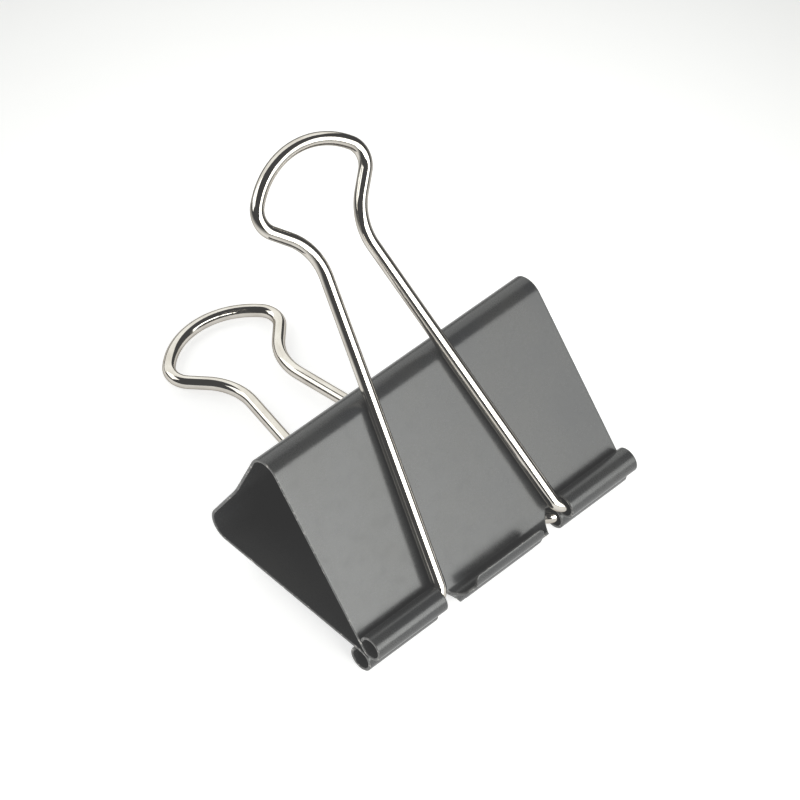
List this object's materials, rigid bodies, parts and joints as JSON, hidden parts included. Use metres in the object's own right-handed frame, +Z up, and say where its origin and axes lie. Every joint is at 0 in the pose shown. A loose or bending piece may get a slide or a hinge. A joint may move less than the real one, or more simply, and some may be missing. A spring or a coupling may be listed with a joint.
{
  "type": "binder clip",
  "caption": "Large binder clip: black folded spring-steel body with rolled lips and pivoting bent-wire handles, closed and lying on its back.",
  "frame": {"origin": "bottom centre of the whole clip's box, on the surface that it lies on", "axes": "+Z up out of that surface, +X along the lips and the spine, +Y from the lips past the spine to the handles' loops; the clip lies on its back lip roll and the end of the back handle"},
  "size_m": [0.0516, 0.0696, 0.0568],
  "materials": {
    "black_steel": "satin black coating on spring steel",
    "nickel_wire": "bright nickel plating on bent wire"
  },
  "bodies": {
    "spine": {"spine": "black_steel"},
    "front_jaw": {"front_jaw": "black_steel"},
    "back_jaw": {"back_jaw": "black_steel"},
    "front_handle": {"front_handle": "nickel_wire"},
    "back_handle": {"back_handle": "nickel_wire"}
  },
  "joints": [
    {"name": "front_jaw_flex", "type": "hinge", "parent": "spine", "child": "front_jaw", "pos_m": [0, -0.01194, 0.02735], "axis": [-1, 0, 0], "range_deg": [0, 24], "stiffness_Nm_per_rad": 1.5},
    {"name": "back_jaw_flex", "type": "hinge", "parent": "spine", "child": "back_jaw", "pos_m": [0, -0.00114, 0.00653], "axis": [1, 0, 0], "range_deg": [0, 24], "stiffness_Nm_per_rad": 1.5},
    {"name": "front_handle_pivot", "type": "hinge", "parent": "front_jaw", "child": "front_handle", "pos_m": [0, -0.03288, 0.00559], "axis": [1, 0, 0], "range_deg": [0, 155]},
    {"name": "back_handle_pivot", "type": "hinge", "parent": "back_jaw", "child": "back_handle", "pos_m": [0, -0.03099, 0.00195], "axis": [-1, 0, 0], "range_deg": [-4.9, 150]}
  ],
  "couplings": [
    {"joint": "back_jaw_flex", "follows": "front_jaw_flex", "ratio": 1}
  ]
}
